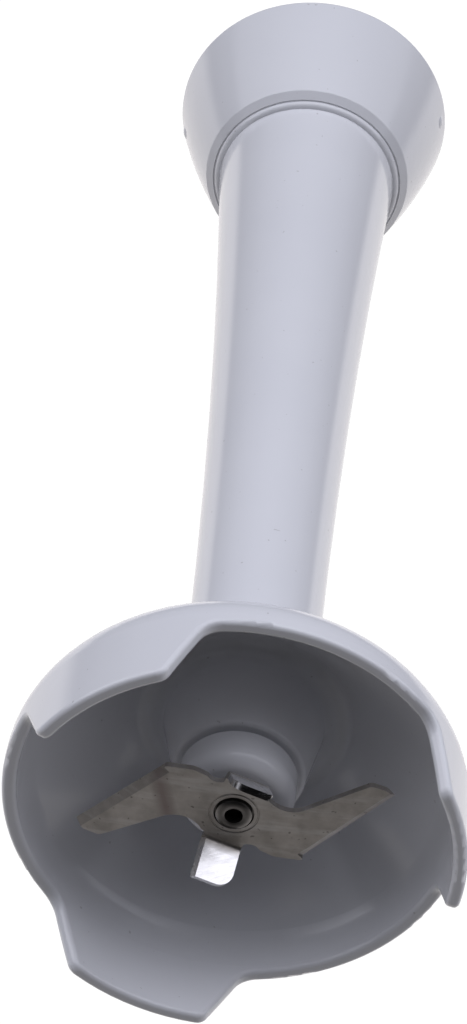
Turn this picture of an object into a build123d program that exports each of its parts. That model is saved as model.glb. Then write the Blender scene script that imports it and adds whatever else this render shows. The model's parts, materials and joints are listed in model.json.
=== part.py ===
from build123d import *

import os
from math import cos, hypot, radians, sin, tan

# Detachable blending foot of a hand blender: a moulded stem with a bell-shaped
# blade guard at the bottom and a flared collar at the top, with a steel shaft
# inside that carries the blade. Millimetres. The shaft axis is +Z, the three
# feet of the guard stand on Z = 0 and the collar's rim is at the top.

# ---- driving dimensions -------------------------------------------------------
HEIGHT = 209.4  # from the guard's feet to the collar's rim
GUARD_R = 34.0  # outer radius of the guard's skirt
GUARD_WALL = 2.1  # wall of the guard
RIM_ROUND = 0.75  # rounding of the guard's lower rim
NOTCH_DEPTH = 10.2  # height of the three flow openings
LOBE_ANGLE = 109.75  # direction of the first foot, about +Z from +X
LOBE_HALF = 23.3  # half width of a foot at mid-height, degrees
RAMP_SLOPE = 63.0  # steepness of a foot's sides, degrees
RAMP_OVERLAP = 9.5  # angle that a ramp's cutter shares with its neighbours, degrees
RAMP_LENGTH = 6.5  # half length of a ramp's cutter
LOBES = 3
BELOW = -3.0  # level below everything, where cutters start
SKIRT_LOW = -1.0  # end of the turned skirt, before its rim is cut

STEM_WAIST = 9.95  # smallest outer radius of the stem
STEM_WAIST_Z = 22.0  # height of that waist
STEM_FLARE = 0.000219  # growth of the radius with the square of the height
STEM_WALL = 2.2
STEM_TOP = 189.2
STEM_FROM = 50.0  # height where the guard's shoulder has become the stem
FLANGE_R = 17.0  # radius of the thin flange at the stem's top
FLANGE_ROUND = 1.0  # fillet under that flange

TOWER_END = 17.8  # lower end of the bearing tower inside the guard
TOWER_R = 9.8
SPIGOT_R = 7.3  # bore at the tower's lower end, for the cap's spigot
TOWER_BORE = 4.2  # bore of the tower above its bush

COLLAR_Z = 186.3  # lower end of the collar's slanted foot
FOOT_Z = 187.5  # top of that foot, where the flare starts
COLLAR_R = 18.4  # outer radius of the collar there
COLLAR_MID = (22.1, 198.9)  # a point half-way up the collar's flare
RIM_R = 24.7  # outer radius of the collar's rim
COLLAR_WALL = 1.8
COLLAR_STEP = 191.2  # top of the collar's thick foot
PIP_Z = 206.3  # height of the two alignment pips
PIP_ANGLE = -11.0  # direction of the first alignment pip

SHAFT_R = 3.0
RUNNING = 0.04  # radial running clearance of the shaft in its bearings
APART = 0.3  # gap between parts that move past each other

SHAFT_TOP = 184.3
SHAFT_END = 8.35  # lower end of the shaft, just below the blade
STUB_R = 2.65  # radius of the shaft where it shows under the blade
BLADE_FIT = 2.95  # radius of the shaft in the blade

BLADE_Z = 9.0  # underside of the blade
BLADE_T = 1.0
WING_ANGLE = -16.2  # direction of the first wing
WING_BEND_R = 8.9  # distance of the wing's bend line from the axis
WING_RISE = 3.0  # upward bend of the wings, degrees
EDGE_WIDTH = 1.12  # width of the ground bevel under a wing's leading edge
EDGE_LAND = 0.1  # thickness left at a ground edge
BLADE_KNEE = (10.5, 7.25)  # corner where the first wing's leading edge starts
BLADE_TIP = (22.7, -5.9)  # corner where it ends
TAB_ANGLE = 107.5  # direction of the first bent-down tab
TAB_BEND = 61.5  # downward bend of the tabs, degrees
TAB_ROOT = 5.8  # distance of the tab's bend corner from the axis
TAB_REACH = 6.4  # length of a tab from its bend corner
TAB_TRAILING = -3.6  # side of a tab with the large rounded corner
TAB_LEADING = 2.4  # side of a tab with the ground edge
TAB_EDGE = 0.57  # width of the ground bevel on that side

SOCKET_R = 17.0  # bore that the motor unit's nose slides into
SOCKET_FLOOR = 194.4
LINER_LOW = 191.4  # underside of the liner's floor
LINER_TOP = 208.6
LINER_WALL = 1.4

COUPLING_R = 6.2
COUPLING_LOW = 177.6
COUPLING_TOP = 191.0
DOG_FLOOR = 184.5  # floor of the splined recess for the motor's drive dog

SCREWS = 3
SCREW_PITCH_R = 12.0
SCREW_START = 49.75  # direction of the first screw
SCREW_R = 1.2
SCREW_HOLE_R = 1.75
SCREW_HEAD_R = 2.7
SEAT_Z = 192.6  # seat of the screw heads in the liner

# ---- small shared sizes -------------------------------------------------------
LOWER_BUSH = (20.6, 29.4, 5.5)  # low, high, outer radius
UPPER_BUSH = (168.0, 176.6, 6.0)
CAP_LOW = 11.35
CAP_R = 8.8
CAP_HOLE_R = 3.5
CAP_WALL_R = 5.8  # inside radius of the cap, where the lip seal sits
CAP_SPIGOT_R = 7.2
SEAL_LOW = 13.2
PIN_Z = 181.0
PIN_R = 1.0
CLIP_Z = 165.2


def stem_radius(z):
    """Outer radius of the stem at height z."""
    return STEM_WAIST + STEM_FLARE * (z - STEM_WAIST_Z) ** 2


def turned(*lines):
    """Solid of revolution about Z from a closed outline of (radius, height) lines."""
    return revolve(Plane.XZ * make_face(Curve() + list(lines)), Axis.Z)


def tube(inner, outer, low, high):
    """Plain ring between two radii and two heights."""
    section = Polyline((inner, low), (outer, low), (outer, high), (inner, high), close=True)
    return turned(section)


def rod(radius, low, high):
    """Plain cylinder on the axis."""
    return Pos(0, 0, low) * extrude(Circle(radius), high - low)


def around(solid, count, start=0.0):
    """Copies of a solid, evenly spaced about Z, the first turned by start degrees."""
    return [Rot(0, 0, start + 360 * i / count) * solid for i in range(count)]


# ---- stem and guard -----------------------------------------------------------
def rim_profile():
    """Cutter that gives one side of a foot its S-shaped ramp, centred on +X."""
    run = NOTCH_DEPTH / tan(radians(RAMP_SLOPE))
    low = (-RAMP_LENGTH, 0)
    high = (RAMP_LENGTH, NOTCH_DEPTH)
    path = FilletPolyline(low, (-run / 2, 0), (run / 2, NOTCH_DEPTH), high, radius=[1.8, 3.6])
    close = Polyline(high, (RAMP_LENGTH, BELOW), (-RAMP_LENGTH, BELOW), low)
    face = make_face(Curve() + [path, close])
    start = GUARD_R - 8
    radial = Plane(origin=(start, 0, 0), x_dir=(0, 1, 0), z_dir=(1, 0, 0))
    return extrude(radial * face, 16)


def sector(half, low, high):
    """Wedge about +X, half degrees to each side, between two heights."""
    reach = GUARD_R + 20
    side = radians(half)
    corner = (reach * cos(side), reach * sin(side))
    face = make_face(Polyline((0, 0), (corner[0], -corner[1]), corner, close=True))
    return Pos(0, 0, low) * extrude(face, high - low)


def rim_cutter():
    """Everything below the wavy rim of the guard."""
    ramp = rim_profile()
    other = mirror(ramp, Plane.XZ)
    foot = sector(LOBE_HALF - RAMP_OVERLAP, BELOW, 0)
    notch_half = 180 / LOBES - LOBE_HALF - RAMP_OVERLAP
    notch = sector(notch_half, BELOW, NOTCH_DEPTH)
    one = Rot(0, 0, LOBE_HALF) * ramp + Rot(0, 0, -LOBE_HALF) * other + foot
    one = one + Rot(0, 0, 180 / LOBES) * notch
    return around(one, LOBES, LOBE_ANGLE)


def guard_inside():
    """Outline of the bearing tower, the dome and the inside of the skirt, from the tower down."""
    inner_r = GUARD_R - GUARD_WALL
    return FilletPolyline(
        (SPIGOT_R, TOWER_END),
        (TOWER_R, TOWER_END),
        (12.9, 33.3),
        (20.0, 27.5),
        (inner_r, 14.5),
        (inner_r, SKIRT_LOW),
        radius=[0.7, 2.6, 28, 8],
    )


def stem_bore():
    """Outline of the tower's bores, from the hollow stem down to the spigot of the cap."""
    bush_low, bush_high, bush_r = LOWER_BUSH
    return Polyline(
        (stem_radius(STEM_FROM) - STEM_WALL, STEM_FROM),
        (STEM_WAIST - STEM_WALL, 36),
        (TOWER_BORE, bush_high + 2.5),
        (TOWER_BORE, bush_high),
        (bush_r, bush_high),
        (bush_r, bush_low - 0.1),
        (SPIGOT_R, bush_low - 0.1),
        (SPIGOT_R, TOWER_END),
    )


def stem_and_guard():
    """One moulding: bell guard, bearing tower and tapered stem with a thin flange on top."""
    under = COLLAR_Z - FLANGE_ROUND
    stations = [STEM_FROM + (under - STEM_FROM) * i / 4 for i in range(5)]
    outside = FilletPolyline(
        (GUARD_R, SKIRT_LOW),
        (GUARD_R, 15.4),
        (21.5, 29.2),
        (STEM_WAIST, 38.6),
        (stem_radius(STEM_FROM), STEM_FROM),
        radius=[8, 30, 12],
    )
    stem = Spline([(stem_radius(z), z) for z in stations])
    fillet_end = (stem_radius(under) + FLANGE_ROUND, COLLAR_Z)
    flare = RadiusArc((stem_radius(under), under), fillet_end, -FLANGE_ROUND)
    flange = Polyline(fillet_end, (FLANGE_R, COLLAR_Z), (FLANGE_R, STEM_TOP))
    mouth_r = stem_radius(STEM_TOP) - STEM_WALL
    heights = [STEM_FROM + (STEM_TOP - STEM_FROM) * i / 4 for i in range(5)]
    core = Spline([(stem_radius(z) - STEM_WALL, z) for z in reversed(heights)])
    top = Line((FLANGE_R, STEM_TOP), (mouth_r, STEM_TOP))
    foot = Line((GUARD_R - GUARD_WALL, SKIRT_LOW), (GUARD_R, SKIRT_LOW))
    body = turned(outside, stem, flare, flange, top, core, stem_bore(), guard_inside(), foot)
    for cutter in rim_cutter():
        body = body - cutter
    body = fillet([edge for edge in body.edges() if on_rim(edge)], RIM_ROUND)
    for boss in around(screw_post(2.5, 170, STEM_TOP), SCREWS, SCREW_START):
        body = body + boss
    for pilot in around(screw_post(SCREW_R, 176, STEM_TOP), SCREWS, SCREW_START):
        body = body - pilot
    return body


def screw_post(radius, low, high):
    """Cylinder on the first screw's axis, before it is turned to its direction."""
    return Pos(SCREW_PITCH_R, 0, low) * extrude(Circle(radius), high - low)


def on_rim(edge):
    """True for an edge that runs along the wavy rim, not across its wall."""
    start = edge @ 0
    end = edge @ 1
    across = abs(hypot(start.X, start.Y) - hypot(end.X, end.Y)) > 0.5
    return edge.bounding_box().max.Z < NOTCH_DEPTH + 0.1 and not across


# ---- collar and motor socket --------------------------------------------------
def collar_radius(z):
    """Outer radius of the collar, near enough on its flare, at height z."""
    return COLLAR_R + (RIM_R - COLLAR_R) * (z - FOOT_Z) / (HEIGHT - FOOT_Z)


def coupling_collar():
    """Flared outer collar that carries on the line of the motor unit's body."""
    flare = ThreePointArc((COLLAR_R, FOOT_Z), COLLAR_MID, (RIM_R, HEIGHT))
    inner_rim = RIM_R - COLLAR_WALL
    seat_r = stem_radius(STEM_TOP) + 0.02
    ledge = STEM_TOP + 0.02
    inside = Polyline(
        (RIM_R, HEIGHT),
        (inner_rim, HEIGHT),
        (inner_rim - 0.2, LINER_TOP - 1.6),
        (collar_radius(COLLAR_STEP) - COLLAR_WALL + 0.2, COLLAR_STEP),
        (seat_r, COLLAR_STEP),
        (seat_r, ledge),
        (FLANGE_R + 0.02, ledge),
        (FLANGE_R + 0.02, COLLAR_Z),
        (FLANGE_R + 0.1, COLLAR_Z),
        (COLLAR_R, FOOT_Z),
    )
    body = turned(flare, inside)
    body = fillet(body.edges().filter_by(GeomType.CIRCLE).group_by(Axis.Z)[1], 0.4)
    body = fillet(body.edges().filter_by(GeomType.CIRCLE).group_by(Axis.Z)[-1], 0.6)
    pip = Pos(collar_radius(PIP_Z) - 1.95, 0, PIP_Z) * Sphere(2.4)
    shell = tube(RIM_R - 1.4, RIM_R + 2, 203, HEIGHT - 0.8)
    for one in around(pip & shell, 2, PIP_ANGLE):
        body = body + one
    return body


def socket_liner():
    """Cup in the collar with the bore, catch windows and keyways of the motor unit's nose."""
    outer = SOCKET_R + LINER_WALL
    land_r = RIM_R - COLLAR_WALL - 0.25
    well_r = 7.2
    section = Polyline(
        (well_r, LINER_LOW),
        (17.4, LINER_LOW),
        (outer, 194.0),
        (outer, LINER_TOP - 1.5),
        (land_r, LINER_TOP - 1.5),
        (land_r, LINER_TOP),
        (SOCKET_R + 0.8, LINER_TOP),
        (SOCKET_R, LINER_TOP - 0.8),
        (SOCKET_R, SOCKET_FLOOR),
        (well_r + 1, SOCKET_FLOOR),
        (well_r, SOCKET_FLOOR - 1),
        close=True,
    )
    body = turned(section)
    window = Pos(SOCKET_R + LINER_WALL / 2, 0, 201.0) * Box(3.6, 8.0, 4.0)
    keyway = Pos(SOCKET_R + 0.1, 0, 201.9) * Box(1.8, 3.0, 15.0)
    for one in around(window, 2, PIP_ANGLE) + around(keyway, 2, PIP_ANGLE + 90):
        body = body - one
    hole = screw_post(SCREW_HOLE_R, 190, 200)
    sink = screw_post(SCREW_HEAD_R + 0.3, SEAT_Z, 198)
    for one in around(hole + sink, SCREWS, SCREW_START):
        body = body - one
    return body


def collar_seal():
    """Rubber ring around the carrier's flange that seals the stem against the collar."""
    ring = Pos(15.48, 190.3) * Circle(0.5)
    return revolve(Plane.XZ * ring, Axis.Z)


def bearing_carrier():
    """Flanged sleeve on top of the stem that holds the upper bush and the coupling well."""
    low, high, bush_r = UPPER_BUSH
    sleeve_r = 8.6
    flange_r = 14.9
    well_r = 7.2
    top = LINER_LOW - 0.05
    section = Polyline(
        (4.1, low - 1.2),
        (sleeve_r, low - 1.2),
        (sleeve_r, STEM_TOP + 0.05),
        (flange_r, STEM_TOP + 0.05),
        (flange_r, top),
        (well_r, top),
        (well_r, high + 0.2),
        (bush_r, high + 0.2),
        (bush_r, low),
        (4.1, low),
        close=True,
    )
    body = turned(section)
    hole = screw_post(SCREW_HOLE_R, STEM_TOP - 1, STEM_TOP + 4)
    for one in around(hole, SCREWS, SCREW_START):
        body = body - one
    return body


def socket_screws():
    """Pan-head screws that clamp liner and carrier to the stem."""
    tip = 178.0
    top = SEAT_Z + 1.5
    outline = Polyline(
        (0, tip),
        (SCREW_R, tip + 0.6),
        (SCREW_R, SEAT_Z),
        (SCREW_HEAD_R, SEAT_Z),
        (SCREW_HEAD_R, SEAT_Z + 0.9),
        (SCREW_HEAD_R - 0.6, top),
        (0, top),
        close=True,
    )
    slot = Pos(0, 0, top) * (Box(3.0, 0.7, 1.6) + Box(0.7, 3.0, 1.6))
    screw = turned(outline) - slot
    return Compound(around(Pos(SCREW_PITCH_R, 0, 0) * screw, SCREWS, SCREW_START))


# ---- bearings, seals and guides -----------------------------------------------
def bush(size):
    """Sintered plain bearing with chamfered ends."""
    low, high, outer = size
    body = tube(SHAFT_R + RUNNING, outer, low, high)
    return chamfer(body.edges().filter_by(GeomType.CIRCLE).group_by(SortBy.RADIUS)[-1], 0.4)


def shaft_guide():
    """Fluted plastic guide that steadies the middle of the shaft."""
    low, high = 98.0, 107.0
    outer = stem_radius(low) - STEM_WALL - 0.03
    body = tube(SHAFT_R + 0.08, outer, low, high)
    flute = Pos(outer + 0.6, 0, low - 1) * extrude(Circle(3.4), high - low + 2)
    for one in around(flute, 3):
        body = body - one
    return body


def seal_cap():
    """Domed cap under the bearing tower that holds the shaft seal."""
    spigot_top = LOWER_BUSH[0] - 0.3
    brim = TOWER_END - 0.55
    outside = FilletPolyline(
        (CAP_HOLE_R, CAP_LOW),
        (CAP_R - 0.15, CAP_LOW),
        (CAP_R, brim),
        (CAP_SPIGOT_R, brim),
        (CAP_SPIGOT_R, spigot_top),
        radius=[2.6, 0.25, 0.3],
    )
    inside = Polyline(
        (CAP_SPIGOT_R, spigot_top),
        (CAP_WALL_R, spigot_top),
        (CAP_WALL_R, SEAL_LOW),
        (CAP_HOLE_R, SEAL_LOW),
        (CAP_HOLE_R, CAP_LOW),
    )
    return turned(outside, inside)


def lip_seal():
    """Rubber shaft seal with one lip, pressed in the cap."""
    lip = SHAFT_R + 0.05
    outer = CAP_WALL_R - 0.02
    low = SEAL_LOW + 0.05
    section = Polyline(
        (4.6, low),
        (outer, low),
        (outer, low + 3.65),
        (4.6, low + 3.65),
        (4.2, low + 2.05),
        (lip + 0.3, low + 2.85),
        (lip, low + 2.15),
        (lip + 0.5, low + 0.95),
        (4.3, low + 0.35),
        close=True,
    )
    return turned(section)


def felt_ring():
    """Oil-soaked felt above the seal that feeds the lower bush."""
    return tube(SHAFT_R + 0.35, CAP_WALL_R - 0.1, 17.2, 19.9)


# ---- rotor --------------------------------------------------------------------
def drive_shaft():
    """Ground steel shaft with a clip groove and a centre-drilled, slightly crowned lower end."""
    hole_r = 1.35
    shoulder = BLADE_Z + BLADE_T
    groove_r = SHAFT_R - 0.6
    inner = (hole_r, SHAFT_END + 0.1)
    outer = (STUB_R, SHAFT_END + 0.3)
    pressed = BLADE_Z + 0.6
    crown = ThreePointArc(inner, (1.9, SHAFT_END), outer)
    section = Polyline(
        outer,
        (STUB_R, pressed),
        (BLADE_FIT, pressed),
        (BLADE_FIT, shoulder),
        (SHAFT_R, shoulder),
        (SHAFT_R, CLIP_Z),
        (groove_r, CLIP_Z),
        (groove_r, CLIP_Z + 0.75),
        (SHAFT_R, CLIP_Z + 0.75),
        (SHAFT_R, SHAFT_TOP - 0.5),
        (SHAFT_R - 0.5, SHAFT_TOP),
        (0, SHAFT_TOP),
        (0, SHAFT_END + 5.8),
        (hole_r, SHAFT_END + 5),
        inner,
    )
    return turned(crown, section) - cross_pin()


def cross_pin():
    """Pin across the shaft at the coupling."""
    half = COUPLING_R - 0.4
    pin = extrude(Circle(PIN_R), half, both=True)
    return Pos(0, 0, PIN_Z) * Rot(0, 90, 0) * pin


def drive_coupling():
    """Female splined coupling that the motor unit's drive dog enters from above."""
    body = rod(COUPLING_R, COUPLING_LOW, COUPLING_TOP)
    body = chamfer(body.edges().filter_by(GeomType.CIRCLE), 0.5)
    depth = COUPLING_TOP + 1 - DOG_FLOOR
    spline = rod(3.5, DOG_FLOOR, COUPLING_TOP + 1)
    lobe = Pos(3.6, 0, DOG_FLOOR) * extrude(Circle(1.0), depth)
    for one in around(lobe, 6):
        spline = spline + one
    bore = rod(SHAFT_R, COUPLING_LOW - 1, DOG_FLOOR + 0.5)
    channel = extrude(Circle(PIN_R), COUPLING_R + 1, both=True)
    return body - spline - bore - Pos(0, 0, PIN_Z) * Rot(0, 90, 0) * channel


def retaining_clip():
    """E-clip in the shaft's groove under the upper bearing."""
    body = tube(SHAFT_R - 0.58, 5.6, CLIP_Z + 0.05, CLIP_Z + 0.7)
    mouth = Pos(4, 0, CLIP_Z) * Box(8, 3.6, 3)
    body = body - mouth
    scoop = Pos(5.0, 0, CLIP_Z - 1) * extrude(Circle(1.3), 3)
    for one in around(scoop, 2, 110):
        body = body - one
    return body


def blade_outline():
    """Plan of the flat blade, made of one half and its copy turned by 180 degrees."""
    hub = (1.5, 6.05)
    notch = (2.5, 5.5)
    shoulder = (4.4, 6.3)
    knee_inner = (6.5, 7.2)
    tip_middle = (21.5, -7.1)
    tip_trailing = (19.1, -7.8)
    waist_outer = (10.0, -2.1)
    waist = (6.9, -1.75)
    heel = (4.4, -3.7)
    root = (3.5, -4.4)
    leading = FilletPolyline(shoulder, knee_inner, BLADE_KNEE, BLADE_TIP, radius=[3, 0.4])
    tip = FilletPolyline(BLADE_TIP, tip_middle, tip_trailing, waist_outer, radius=[0.8, 1.2])
    half = [ThreePointArc(hub, notch, shoulder), leading, tip]
    half += [ThreePointArc(waist_outer, waist, heel), Polyline(heel, root, (-hub[0], -hub[1]))]
    return make_face(Curve() + half + [Rot(0, 0, 180) * line for line in half])


def bevel_section(width):
    """Section that a grinding wheel removes from the underside of an edge at the origin."""
    clear = 3.0
    rise = (BLADE_T - EDGE_LAND) * (width + clear) / width
    return make_face(Polyline((-width, 0), (-width, -clear), (clear, -clear), (clear, rise), close=True))


def edge_bevel():
    """Cutter for the ground bevel under the first wing's leading edge."""
    knee = Vector(*BLADE_KNEE)
    along = (Vector(*BLADE_TIP) - knee).normalized()
    start = knee + along * 0.4
    outward = (-along.Y, along.X, 0)
    plane = Plane(origin=(start.X, start.Y, BLADE_Z), x_dir=outward, z_dir=along)
    return extrude(plane * bevel_section(EDGE_WIDTH), 25)


def tab_corners(body, ceiling):
    """Edges of a tab that run through the plate below a height, trailing side first."""
    through = [edge for edge in body.edges() if abs((edge @ 0).Y - (edge @ 1).Y) < 0.01]
    short = [edge for edge in through if abs(edge.length - BLADE_T) < 0.05]
    free = [edge for edge in short if edge.center().Z < ceiling]
    return sorted(free, key=lambda edge: edge.center().Y)


def blade_tab():
    """A bent-down tab with its bend, its rounded corners and its ground edge, along +X."""
    bend = radians(TAB_BEND)
    inner_round = 0.9
    low = (TAB_ROOT + TAB_REACH * cos(bend), -TAB_REACH * sin(bend))
    high = (low[0] + BLADE_T * sin(bend), low[1] + BLADE_T * cos(bend))
    corner = TAB_ROOT + BLADE_T * tan(bend / 2)
    flat = TAB_ROOT - 1.6
    outer_round = inner_round + BLADE_T
    upper = FilletPolyline((flat, BLADE_T), (corner, BLADE_T), high, radius=outer_round)
    lower = FilletPolyline((flat, 0), (TAB_ROOT, 0), low, radius=inner_round)
    ends = [Line((flat, 0), (flat, BLADE_T)), Line(low, high)]
    side = Plane(origin=(0, TAB_LEADING, BLADE_Z), x_dir=(1, 0, 0), z_dir=(0, -1, 0))
    body = extrude(side * make_face(Curve() + [upper, lower] + ends), TAB_LEADING - TAB_TRAILING)
    ceiling = BLADE_Z + low[1] + 1.2
    body = fillet(tab_corners(body, ceiling)[0], 2.3)
    body = fillet(tab_corners(body, ceiling)[-1], 0.4)
    down = (cos(bend), 0, -sin(bend))
    edge = Plane(origin=(TAB_ROOT, TAB_LEADING, BLADE_Z), x_dir=(0, 1, 0), z_dir=down)
    return body - extrude(edge * bevel_section(TAB_EDGE), TAB_REACH + 2)


def blade():
    """Pressed stainless blade: two bevelled wings bent slightly up, two tabs bent down."""
    flat = Pos(0, 0, BLADE_Z) * extrude(blade_outline(), BLADE_T)
    for bevel in around(edge_bevel(), 2):
        flat = flat - bevel
    reach = 40
    beyond = Pos(WING_BEND_R + reach / 2, 0, BLADE_Z) * Box(reach, 2 * reach, 20)
    hinge = Axis((WING_BEND_R, 0, BLADE_Z), (0, 1, 0))
    body = flat
    wings = []
    for turn in (WING_ANGLE, WING_ANGLE + 180):
        zone = Rot(0, 0, turn) * beyond
        wing = Rot(0, 0, -turn) * (flat & zone)
        body = body - zone
        wings.append(Rot(0, 0, turn) * wing.rotate(hinge, -WING_RISE))
    for wing in wings:
        body = body + wing
    for tab in around(blade_tab(), 2, TAB_ANGLE):
        body = body + tab
    groove = revolve(Plane.XZ * Pos(3.6, BLADE_Z) * Circle(0.15), Axis.Z)
    return body - rod(BLADE_FIT + 0.02, 0, 20) - groove


def parts():
    """Every node of the foot, by name."""
    top_washer = UPPER_BUSH[1] + APART
    clip_washer = UPPER_BUSH[0] - 1.2 - APART
    return {
        "stem_and_guard": stem_and_guard(),
        "coupling_collar": coupling_collar(),
        "socket_liner": socket_liner(),
        "collar_seal": collar_seal(),
        "bearing_carrier": bearing_carrier(),
        "socket_screws": socket_screws(),
        "upper_bearing": bush(UPPER_BUSH),
        "lower_bearing": bush(LOWER_BUSH),
        "shaft_guide": shaft_guide(),
        "seal_cap": seal_cap(),
        "lip_seal": lip_seal(),
        "felt_ring": felt_ring(),
        "drive_shaft": drive_shaft(),
        "blade": blade(),
        "blade_washer": tube(SHAFT_R + 0.02, 4.6, BLADE_Z + BLADE_T, CAP_LOW - 0.35),
        "drive_coupling": drive_coupling(),
        "coupling_pin": cross_pin(),
        "thrust_washer_top": tube(SHAFT_R + 0.02, 5.2, top_washer, COUPLING_LOW),
        "thrust_washer_clip": tube(SHAFT_R + 0.02, 5.4, CLIP_Z + 0.75, clip_washer),
        "retaining_clip": retaining_clip(),
    }


os.makedirs("parts", exist_ok=True)
for name, solid in parts().items():
    export_step(solid, f"parts/{name}.step")
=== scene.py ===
import json
import math

import bmesh
import bpy
from mathutils import Matrix, Vector


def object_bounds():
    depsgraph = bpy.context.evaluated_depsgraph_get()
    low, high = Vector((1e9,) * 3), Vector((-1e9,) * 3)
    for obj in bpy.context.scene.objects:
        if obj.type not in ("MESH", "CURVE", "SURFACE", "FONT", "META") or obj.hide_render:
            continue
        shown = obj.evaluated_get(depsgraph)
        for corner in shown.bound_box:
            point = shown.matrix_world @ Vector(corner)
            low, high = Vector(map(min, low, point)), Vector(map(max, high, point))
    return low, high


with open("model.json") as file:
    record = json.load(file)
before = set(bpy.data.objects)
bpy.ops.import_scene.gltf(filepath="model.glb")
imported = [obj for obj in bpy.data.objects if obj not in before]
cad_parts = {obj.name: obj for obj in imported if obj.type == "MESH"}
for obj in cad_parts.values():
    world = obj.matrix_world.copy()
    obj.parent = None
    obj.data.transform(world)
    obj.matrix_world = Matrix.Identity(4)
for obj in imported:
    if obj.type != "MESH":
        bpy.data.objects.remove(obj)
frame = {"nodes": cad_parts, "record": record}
cad_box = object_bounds()

MM = 0.001


# ---- camera ---------------------------------------------------------------------
def make_camera():
    """Looks up at the blade from below and in front of the guard, with the collar at the top."""
    data = bpy.data.cameras.new("camera")
    data.sensor_fit = "VERTICAL"
    data.sensor_height = 36.0
    data.lens = 133.6  # with this sensor, a narrow view of about 15 degrees
    data.clip_start = 0.01
    right = Vector((0.99199, -0.10201, 0.07451))
    up = Vector((-0.12633, -0.80105, 0.58511))
    back = right.cross(up)
    turn = Matrix((right, up, back)).transposed().to_4x4()
    camera = bpy.data.objects.new("camera", data)
    place = Vector((-5.555, -358.779, -408.924)) * MM
    camera.matrix_world = Matrix.Translation(place) @ turn
    bpy.context.scene.collection.objects.link(camera)
    bpy.context.scene.camera = camera


make_camera()


# ---- shader helpers ---------------------------------------------------------------
class Shader:
    """One material's node tree, with short calls for the nodes that the finishes share."""

    def __init__(self, name):
        self.material = bpy.data.materials.new(name)
        self.material.use_nodes = True
        self.tree = self.material.node_tree
        self.bsdf = self.tree.nodes["Principled BSDF"]
        self.place = self.tree.nodes.new("ShaderNodeTexCoord").outputs["Object"]

    def node(self, kind, **settings):
        made = self.tree.nodes.new(kind)
        for key, value in settings.items():
            setattr(made, key, value)
        return made

    def link(self, source, target):
        self.tree.links.new(source, target)

    def stretched(self, scale, turn=0.0):
        """Object coordinates, turned about Z and scaled, for marks that run one way."""
        mapping = self.node("ShaderNodeMapping")
        mapping.inputs["Rotation"].default_value = (0, 0, turn)
        mapping.inputs["Scale"].default_value = scale
        self.link(self.place, mapping.inputs["Vector"])
        return mapping.outputs["Vector"]

    def noise(self, scale, detail=3.0, roughness=0.5, where=None):
        made = self.node("ShaderNodeTexNoise")
        made.inputs["Scale"].default_value = scale
        made.inputs["Detail"].default_value = detail
        made.inputs["Roughness"].default_value = roughness
        self.link(where or self.place, made.inputs["Vector"])
        return made.outputs["Fac"]

    def spread(self, source, low, high, from_low=0.3, from_high=0.7):
        """Maps a 0 to 1 pattern onto the range low to high."""
        made = self.node("ShaderNodeMapRange")
        made.inputs["From Min"].default_value = from_low
        made.inputs["From Max"].default_value = from_high
        made.inputs["To Min"].default_value = low
        made.inputs["To Max"].default_value = high
        self.link(source, made.inputs["Value"])
        return made.outputs["Result"]

    def mix(self, factor, first, second):
        """Colour between first and second, each a colour or a socket."""
        made = self.node("ShaderNodeMix", data_type="RGBA")
        self.link(factor, made.inputs["Factor"])
        for value, socket in ((first, made.inputs[6]), (second, made.inputs[7])):
            if isinstance(value, tuple):
                socket.default_value = (*value, 1.0)
            else:
                self.link(value, socket)
        return made.outputs[2]

    def math(self, operation, first, second=0.0):
        made = self.node("ShaderNodeMath", operation=operation)
        for value, socket in zip((first, second), made.inputs):
            if isinstance(value, (int, float)):
                socket.default_value = value
            else:
                self.link(value, socket)
        return made.outputs[0]

    def edges(self, radius):
        """1 on edges that wear, 0 on flat and gently curved faces."""
        bevel = self.node("ShaderNodeBevel", samples=6)
        bevel.inputs["Radius"].default_value = radius
        flat = self.node("ShaderNodeNewGeometry").outputs["Normal"]
        dot = self.node("ShaderNodeVectorMath", operation="DOT_PRODUCT")
        self.link(bevel.outputs["Normal"], dot.inputs[0])
        self.link(flat, dot.inputs[1])
        return self.spread(dot.outputs["Value"], 1.0, 0.0, 0.80, 0.99)

    def rub(self, tint, radius, amount, colour):
        """Lays a rubbed colour over the edges that wear."""
        return self.mix(self.math("MULTIPLY", self.edges(radius), amount), tint, colour)

    def split(self, vector, axis):
        """One coordinate of a vector."""
        made = self.node("ShaderNodeSeparateXYZ")
        self.link(vector, made.inputs[0])
        return made.outputs[axis]

    def bump(self, height, distance, strength=1.0, below=None):
        made = self.node("ShaderNodeBump")
        made.inputs["Strength"].default_value = strength
        made.inputs["Distance"].default_value = distance
        self.link(height, made.inputs["Height"])
        if below is not None:
            self.link(below, made.inputs["Normal"])
        return made.outputs["Normal"]

    def finish(self, **sockets):
        """Sets the shader's sockets, to a number, a colour or another node's output."""
        for name, value in sockets.items():
            socket = self.bsdf.inputs[name.replace("_", " ").title().replace("Ior", "IOR")]
            if isinstance(value, bpy.types.NodeSocket):
                self.link(value, socket)
            elif isinstance(value, tuple):
                socket.default_value = (*value, 1.0)
            else:
                socket.default_value = value
        return self.material


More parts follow.
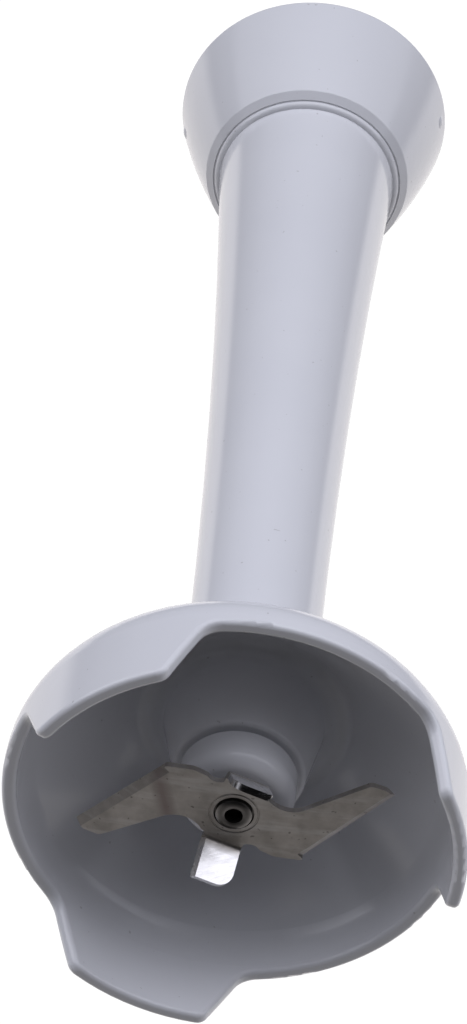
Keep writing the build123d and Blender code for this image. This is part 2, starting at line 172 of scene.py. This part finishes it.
def white_plastic():
    """Semi-gloss moulded white: a faint cloudiness, fine grain, dust and rubbed edges."""
    s = Shader("white_shell_moulded")
    cloud = s.noise(28.0, 4.0, 0.55)
    tint = s.mix(s.spread(cloud, 0.0, 1.0), (0.735, 0.745, 0.785), (0.765, 0.775, 0.812))
    speck = s.spread(s.noise(1500.0, 0.0), 0.0, 1.0, 0.85, 0.88)
    tint = s.mix(s.math("MULTIPLY", speck, 0.35), tint, (0.30, 0.29, 0.28))
    tint = s.rub(tint, 0.3 * MM, 0.25, (0.82, 0.82, 0.84))
    grain = s.noise(2600.0, 2.0)
    wave = s.bump(s.noise(70.0, 2.0), 0.02 * MM, 0.25)
    normal = s.bump(grain, 0.004 * MM, 0.35, wave)
    rough = s.spread(cloud, 0.08, 0.12)
    return s.finish(base_color=tint, roughness=rough, normal=normal, ior=1.49)


def scaled(colour, factor):
    """Colour made lighter or darker, kept within range."""
    return tuple(min(1.0, channel * factor) for channel in colour)


def satin_plastic(name, colour, roughness):
    """Fine spark-eroded moulding, a little uneven."""
    s = Shader(name)
    cloud = s.noise(60.0, 4.0)
    tint = s.mix(s.spread(cloud, 0.0, 1.0), scaled(colour, 0.9), colour)
    tint = s.rub(tint, 0.2 * MM, 0.3, scaled(colour, 1.2))
    normal = s.bump(s.noise(4200.0, 2.0), 0.02 * MM, 0.5)
    rough = s.spread(cloud, roughness, roughness + 0.12)
    return s.finish(base_color=tint, roughness=rough, normal=normal)


def steel(name, colour, roughness, smudge):
    """Steel with rolling grain one way, smudges and bright rubbed edges."""
    s = Shader(name)
    blotch = s.noise(260.0, 5.0, 0.6)
    grain = s.noise(1.0, 3.0, 0.6, s.stretched((350.0, 350.0, 5200.0)))
    tint = s.mix(s.spread(blotch, 0.0, 1.0, 0.35, 0.65), scaled(colour, smudge), colour)
    tint = s.rub(tint, 0.12 * MM, 0.5, scaled(colour, 1.35))
    grain_rough = s.spread(grain, roughness - 0.05, roughness + 0.06)
    rough = s.math("ADD", s.spread(blotch, 0.12, 0.0), grain_rough)
    normal = s.bump(grain, 0.006 * MM, 0.5)
    return s.finish(base_color=tint, roughness=rough, metallic=1.0, normal=normal)


def blade_steel():
    """Pressed stainless: rolling grain, water marks and dark spots, with painted shade as a dark
    band at the bend and near-black corners, and a painted lighter sheen on the tabs.
    """
    s = Shader("blade_steel_pressed")
    wing = math.radians(16.2)  # brings the wings' direction onto X
    bend = 9.6 * MM  # distance from the axis of the bend, where a dark band of painted shade is laid
    tab_low, tab_high = 7.6 * MM, 8.6 * MM  # the tabs below these heights get a painted lighter sheen and lower roughness
    blotch = s.noise(260.0, 5.0, 0.6)
    streak = s.noise(1.0, 4.0, 0.6, s.stretched((90.0, 700.0, 90.0), wing))
    grain = s.noise(1.0, 3.0, 0.6, s.stretched((350.0, 5200.0, 350.0), wing))
    mottle = s.spread(blotch, 0.0, 1.0, 0.35, 0.65)
    tint = s.mix(mottle, (0.40, 0.375, 0.35), (0.55, 0.52, 0.49))
    tint = s.mix(s.spread(streak, 0.0, 0.45, 0.5, 0.68), tint, (0.70, 0.69, 0.68))
    along = s.split(s.stretched((1.0, 1.0, 1.0), wing), "X")
    from_bend = s.math("ABSOLUTE", s.math("ADD", along, bend))
    near_bend = s.spread(from_bend, 1.0, 0.0, 0.2 * MM, 1.7 * MM)
    # painted shade: a dark reddish band along the bend, mottled by the blotch noise, stands in for
    # the shade in the bend
    painted_bend_shade = s.math("MULTIPLY", near_bend, s.spread(blotch, 0.35, 0.8))
    tint = s.mix(painted_bend_shade, tint, (0.20, 0.14, 0.14))
    spot = s.spread(s.noise(1100.0, 1.0), 0.0, 0.6, 0.70, 0.74)
    tint = s.mix(spot, tint, (0.12, 0.11, 0.10))
    # painted shade: ambient occlusion within 1.2 mm darkens corners and crevices towards
    # near-black
    corner = s.node("ShaderNodeAmbientOcclusion", samples=8)
    corner.inputs["Distance"].default_value = 1.2 * MM
    painted_corner_shade = s.spread(corner.outputs["AO"], 0.75, 0.0, 0.25, 0.75)
    tint = s.mix(painted_corner_shade, tint, (0.05, 0.045, 0.04))
    tint = s.rub(tint, 0.12 * MM, 0.45, (0.74, 0.72, 0.70))
    # painted highlight: the tabs are lightened to a bright steel colour as a painted sheen, and
    # their roughness is lowered by up to 0.16
    tab_sheen = s.spread(s.split(s.place, "Z"), 1.0, 0.0, tab_low, tab_high)
    tint = s.mix(tab_sheen, tint, (0.68, 0.67, 0.67))
    rough = s.math("ADD", s.spread(blotch, 0.12, 0.0), s.spread(grain, 0.29, 0.40))
    rough = s.math("SUBTRACT", rough, s.math("MULTIPLY", tab_sheen, 0.16))
    normal = s.bump(grain, 0.006 * MM, 0.5)
    return s.finish(base_color=tint, roughness=rough, metallic=1.0, normal=normal)


def rubber():
    """Soft matt rubber with a fine grain."""
    s = Shader("seal_rubber_soft")
    cloud = s.noise(300.0, 3.0)
    tint = s.mix(s.spread(cloud, 0.0, 1.0), (0.012, 0.012, 0.013), (0.03, 0.03, 0.03))
    normal = s.bump(s.noise(5000.0, 2.0), 0.02 * MM, 0.5)
    return s.finish(base_color=tint, roughness=s.spread(cloud, 0.55, 0.75), normal=normal)


def felt():
    """Oily wool felt, matted across the shaft."""
    s = Shader("oil_felt_wool")
    fibre = s.noise(1.0, 5.0, 0.7, s.stretched((3000.0, 3000.0, 9000.0)))
    tint = s.mix(s.spread(fibre, 0.0, 1.0), (0.14, 0.11, 0.08), (0.34, 0.29, 0.22))
    normal = s.bump(fibre, 0.15 * MM, 0.8)
    return s.finish(base_color=tint, roughness=s.spread(fibre, 0.8, 0.95), normal=normal)


def bronze():
    """Porous sintered bronze, darkened by oil."""
    s = Shader("sintered_bronze_oiled")
    grit = s.noise(2500.0, 4.0, 0.7)
    tint = s.mix(s.spread(grit, 0.0, 1.0), (0.30, 0.17, 0.07), (0.58, 0.38, 0.18))
    normal = s.bump(grit, 0.03 * MM, 0.6)
    rough = s.spread(grit, 0.28, 0.5)
    return s.finish(base_color=tint, roughness=rough, metallic=1.0, normal=normal)


MATERIALS = {
    "white_shell": white_plastic(),
    "liner_plastic": satin_plastic("liner_plastic_satin", (0.62, 0.63, 0.66), 0.42),
    "guide_plastic": satin_plastic("guide_plastic_acetal", (0.78, 0.76, 0.68), 0.38),
    "coupling_plastic": satin_plastic("coupling_plastic_nylon", (0.035, 0.035, 0.038), 0.45),
    "seal_rubber": rubber(),
    "oil_felt": felt(),
    "sintered_bronze": bronze(),
    "zinc_steel": steel("zinc_steel_plated", (0.56, 0.57, 0.60), 0.30, 0.8),
    "shaft_steel": steel("shaft_steel_ground", (0.24, 0.23, 0.22), 0.32, 0.6),
    "blade_steel": blade_steel(),
    "spring_steel": steel("spring_steel_blued", (0.22, 0.22, 0.25), 0.35, 0.7),
}

for entry in frame["record"]["subparts"]:
    node = frame["nodes"][entry["node"]]
    node.data.materials.clear()
    node.data.materials.append(MATERIALS[entry["material_slot"]])


# ---- floor, backdrop and light ------------------------------------------------------
def make_floor():
    """Pale floor at the guard's feet that only shows from above, so a low camera looks past it."""
    mesh = bpy.data.meshes.new("floor")
    shape = bmesh.new()
    bmesh.ops.create_grid(shape, x_segments=2, y_segments=2, size=3.0)
    shape.to_mesh(mesh)
    shape.free()
    floor = bpy.data.objects.new("floor", mesh)
    floor.location.z = cad_box[0].z - 0.02 * MM
    bpy.context.scene.collection.objects.link(floor)
    material = bpy.data.materials.new("floor")
    material.use_nodes = True
    nodes = material.node_tree.nodes
    links = material.node_tree.links
    paint = nodes["Principled BSDF"]
    paint.inputs["Base Color"].default_value = (0.86, 0.86, 0.87, 1)
    paint.inputs["Roughness"].default_value = 0.7
    clear = nodes.new("ShaderNodeBsdfTransparent")
    blend = nodes.new("ShaderNodeMixShader")
    side = nodes.new("ShaderNodeNewGeometry").outputs["Backfacing"]
    links.new(side, blend.inputs[0])
    links.new(paint.outputs[0], blend.inputs[1])
    links.new(clear.outputs[0], blend.inputs[2])
    links.new(blend.outputs[0], nodes["Material Output"].inputs["Surface"])
    mesh.materials.append(material)
    floor.visible_diffuse = False
    floor.visible_glossy = False
    floor.visible_shadow = False


def make_world():
    """White sweep behind everything, a cool light in front and a warm wall of light behind."""
    world = bpy.data.worlds.new("studio")
    bpy.context.scene.world = world
    world.use_nodes = True
    nodes = world.node_tree.nodes
    links = world.node_tree.links
    split = nodes.new("ShaderNodeSeparateXYZ")
    links.new(nodes.new("ShaderNodeTexCoord").outputs["Generated"], split.inputs[0])

    def ramp(axis, start, end):
        """0 where that axis of the direction is at start, rising smoothly to 1 at end."""
        made = nodes.new("ShaderNodeMapRange")
        made.interpolation_type = "SMOOTHSTEP"
        made.inputs["From Min"].default_value = start
        made.inputs["From Max"].default_value = end
        links.new(split.outputs[axis], made.inputs["Value"])
        return made.outputs["Result"]

    def light(colour, ramps):
        """One broad light whose edges are given by ramps."""
        reach = ramps[0]
        for other in ramps[1:]:
            product = nodes.new("ShaderNodeMath")
            product.operation = "MULTIPLY"
            links.new(reach, product.inputs[0])
            links.new(other, product.inputs[1])
            reach = product.outputs[0]
        made = nodes.new("ShaderNodeBackground")
        made.inputs["Color"].default_value = (*colour, 1)
        links.new(reach, made.inputs["Strength"])
        return made.outputs[0]

    front_reach = [ramp("Y", -0.2, -0.35), ramp("Z", -0.65, 0.05), ramp("Z", 0.95, -0.2)]
    front = light((2.08, 2.1, 2.3), front_reach)
    back = light((0.98, 0.95, 0.95), [ramp("Y", 0.02, 0.2), ramp("Z", -1.25, 0.45)])
    both = nodes.new("ShaderNodeAddShader")
    links.new(front, both.inputs[0])
    links.new(back, both.inputs[1])
    white = nodes["Background"]
    white.inputs["Color"].default_value = (1, 1, 1, 1)
    white.inputs["Strength"].default_value = 1.05
    seen = nodes.new("ShaderNodeLightPath").outputs["Is Camera Ray"]
    blend = nodes.new("ShaderNodeMixShader")
    links.new(seen, blend.inputs[0])
    links.new(both.outputs[0], blend.inputs[1])
    links.new(white.outputs[0], blend.inputs[2])
    links.new(blend.outputs[0], nodes["World Output"].inputs["Surface"])


make_floor()
make_world()
bpy.context.scene.view_settings.view_transform = "Standard"
